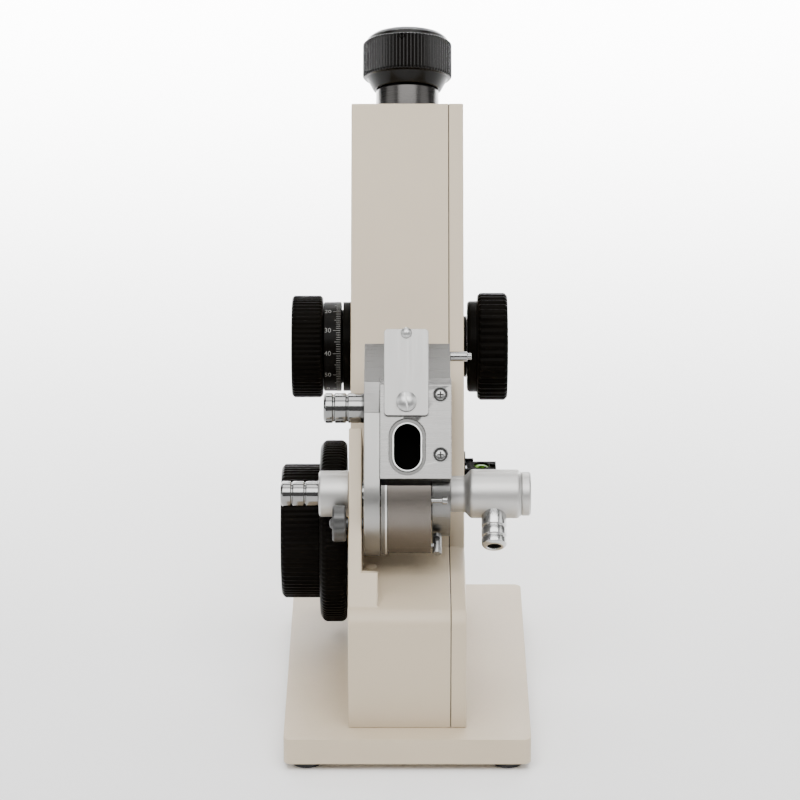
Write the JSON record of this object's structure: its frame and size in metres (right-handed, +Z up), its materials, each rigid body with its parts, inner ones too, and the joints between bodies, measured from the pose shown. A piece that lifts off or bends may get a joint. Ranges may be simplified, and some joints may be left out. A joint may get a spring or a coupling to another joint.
{
  "type": "abbe refractometer",
  "caption": "Bench abbe refractometer: inclined monocular tube on a column and base plate, hinged prism unit, large measuring handwheel and dispersion knobs.",
  "frame": {"origin": "on the bench under the middle of the overall box", "axes": "+Z up, -Y towards the sample prism and the user's working side, +X to the right seen from the prism side"},
  "size_m": [0.0954, 0.2166, 0.2356],
  "materials": {
    "base_plate": "cream enamel, satin",
    "rubber_feet": "moulded black rubber",
    "base_screws": "plated",
    "housing": "cream enamel on casting",
    "side_cover": "cream enamel on casting",
    "cover_screws": "plated",
    "hinge_shaft": "ground",
    "left_union": "satin chrome",
    "lower_nozzle": "satin chrome",
    "stop_button": "cream enamel",
    "lock_thumbwheel": "knurled steel",
    "refracting_seat": "satin chrome",
    "refracting_prism": "polished",
    "thermometer_barrel": "satin chrome",
    "thermometer_gland": "satin chrome",
    "thermometer_nozzle": "satin chrome",
    "hinge_arm": "satin chrome",
    "light_seat": "satin chrome",
    "face_plate": "satin chrome",
    "face_screws": "plated",
    "illuminating_prism": "ground entrance face",
    "upper_nozzle": "satin chrome",
    "handle_pin": "turned",
    "shield_plate": "satin chrome",
    "shield_screw": "polished",
    "shield_knob": "polished",
    "reflector_drum": "satin chrome",
    "reflector_mirror": "silvered glass",
    "reflector_pin": "turned",
    "reflector_post": "turned",
    "dispersion_knob": "black, fine flutes",
    "dispersion_ring": "black, white scale",
    "index_collar": "black",
    "left_gear_shaft": "turned",
    "right_gear_shaft": "turned",
    "right_knob": "black, scalloped",
    "right_hub": "black",
    "cell_mount": "machined",
    "lower_cell": "turned",
    "upper_cell": "turned",
    "lower_amici": "polished",
    "upper_amici": "polished",
    "telescope_tube": "black anodised",
    "objective_lens": "coated",
    "reticle": "etched cross",
    "eyepiece_collar": "black, white lines",
    "eyepiece_ring": "black, milled",
    "eyepiece_barrel": "black anodised",
    "eye_lens": "coated",
    "handwheel_disc": "black",
    "handwheel_knob": "black, fine flutes",
    "handwheel_shaft": "ground",
    "shaft_bush": "turned",
    "swing_pivot": "ground",
    "swing_frame": "cast",
    "swing_mirror": "silvered glass",
    "scale_plate": "etched scale",
    "condenser_bracket": "black",
    "condenser_frame": "black",
    "condenser_lens": "green"
  },
  "bodies": {
    "stand": {"base_plate": "base_plate", "rubber_feet": "rubber_feet", "base_screws": "base_screws", "housing": "housing", "side_cover": "side_cover", "cover_screws": "cover_screws", "hinge_shaft": "hinge_shaft", "left_union": "left_union", "lower_nozzle": "lower_nozzle", "stop_button": "stop_button", "refracting_seat": "refracting_seat", "refracting_prism": "refracting_prism", "thermometer_barrel": "thermometer_barrel", "thermometer_gland": "thermometer_gland", "thermometer_nozzle": "thermometer_nozzle", "index_collar": "index_collar", "right_hub": "right_hub", "cell_mount": "cell_mount", "telescope_tube": "telescope_tube", "objective_lens": "objective_lens", "reticle": "reticle", "eyepiece_collar": "eyepiece_collar", "shaft_bush": "shaft_bush", "swing_pivot": "swing_pivot", "condenser_bracket": "condenser_bracket"},
    "light_unit": {"hinge_arm": "hinge_arm", "light_seat": "light_seat", "face_plate": "face_plate", "face_screws": "face_screws", "illuminating_prism": "illuminating_prism", "upper_nozzle": "upper_nozzle", "handle_pin": "handle_pin", "shield_screw": "shield_screw"},
    "shield": {"shield_plate": "shield_plate", "shield_knob": "shield_knob"},
    "reflector": {"reflector_drum": "reflector_drum", "reflector_mirror": "reflector_mirror", "reflector_pin": "reflector_pin", "reflector_post": "reflector_post"},
    "lock": {"lock_thumbwheel": "lock_thumbwheel"},
    "handwheel": {"handwheel_disc": "handwheel_disc", "handwheel_knob": "handwheel_knob", "handwheel_shaft": "handwheel_shaft"},
    "swing": {"swing_frame": "swing_frame", "swing_mirror": "swing_mirror", "scale_plate": "scale_plate"},
    "dispersion_left": {"dispersion_knob": "dispersion_knob", "dispersion_ring": "dispersion_ring", "left_gear_shaft": "left_gear_shaft"},
    "dispersion_right": {"right_gear_shaft": "right_gear_shaft", "right_knob": "right_knob"},
    "cell_low": {"lower_cell": "lower_cell", "lower_amici": "lower_amici"},
    "cell_high": {"upper_cell": "upper_cell", "upper_amici": "upper_amici"},
    "eyepiece_grip": {"eyepiece_ring": "eyepiece_ring"},
    "eyepiece_core": {"eyepiece_barrel": "eyepiece_barrel", "eye_lens": "eye_lens"},
    "condenser": {"condenser_frame": "condenser_frame", "condenser_lens": "condenser_lens"}
  },
  "joints": [
    {"name": "light_open", "type": "hinge", "parent": "stand", "child": "light_unit", "pos_m": [0.00105, -0.04821, 0.08738], "axis": [1, 0, 0], "range_deg": [0, 90]},
    {"name": "reflector_turn", "type": "hinge", "parent": "light_unit", "child": "reflector", "pos_m": [0.00105, -0.04821, 0.08738], "axis": [1, 0, 0], "range_deg": [0, 40]},
    {"name": "shield_turn", "type": "hinge", "parent": "light_unit", "child": "shield", "pos_m": [0.0007, -0.05384, 0.12642], "axis": [0, 0.866, -0.5], "range_deg": [0, 180]},
    {"name": "lock_turn", "type": "hinge", "parent": "stand", "child": "lock", "pos_m": [-0.02395, -0.06347, 0.08137], "axis": [1, 0, 0], "range_deg": [-120, 120]},
    {"name": "handwheel_turn", "type": "hinge", "parent": "stand", "child": "handwheel", "pos_m": [-0.02895, -0.01045, 0.05713], "axis": [1, 0, 0], "range_deg": [-76, 76]},
    {"name": "swing_tilt", "type": "hinge", "parent": "stand", "child": "swing", "pos_m": [0.00105, 0.00369, 0.07127], "axis": [1, 0, 0], "range_deg": [-15.05, 15.05]},
    {"name": "dispersion_turn", "type": "hinge", "parent": "stand", "child": "dispersion_left", "pos_m": [-0.02895, 0.03114, 0.11881], "axis": [1, 0, 0], "continuous": true},
    {"name": "right_knob_turn", "type": "hinge", "parent": "stand", "child": "dispersion_right", "pos_m": [0.03105, 0.03114, 0.11881], "axis": [1, 0, 0], "continuous": true},
    {"name": "low_cell_turn", "type": "hinge", "parent": "stand", "child": "cell_low", "pos_m": [0.00105, 0.02214, 0.10322], "axis": [0, 0.5, 0.866], "continuous": true},
    {"name": "high_cell_turn", "type": "hinge", "parent": "stand", "child": "cell_high", "pos_m": [0.00105, 0.04014, 0.1344], "axis": [0, 0.5, 0.866], "continuous": true},
    {"name": "eyepiece_turn", "type": "hinge", "parent": "stand", "child": "eyepiece_grip", "pos_m": [0.00105, 0.08939, 0.21971], "axis": [0, 0.5, 0.866], "range_deg": [-150, 150]},
    {"name": "eyepiece_slide", "type": "slide", "parent": "stand", "child": "eyepiece_core", "axis": [0, 0.5, 0.866], "range_m": [-0.00101, 0.00101]},
    {"name": "condenser_tilt", "type": "hinge", "parent": "stand", "child": "condenser", "pos_m": [0.02525, -0.00341, 0.08099], "axis": [0, -1, 0], "range_deg": [0, 85]}
  ],
  "couplings": [
    {"joint": "swing_tilt", "follows": "handwheel_turn", "ratio": -0.19761},
    {"joint": "right_knob_turn", "follows": "dispersion_turn", "ratio": -1},
    {"joint": "high_cell_turn", "follows": "dispersion_turn", "ratio": 1},
    {"joint": "low_cell_turn", "follows": "dispersion_turn", "ratio": -1},
    {"joint": "eyepiece_slide", "follows": "eyepiece_turn", "m_per_rad": 0.00038197}
  ]
}
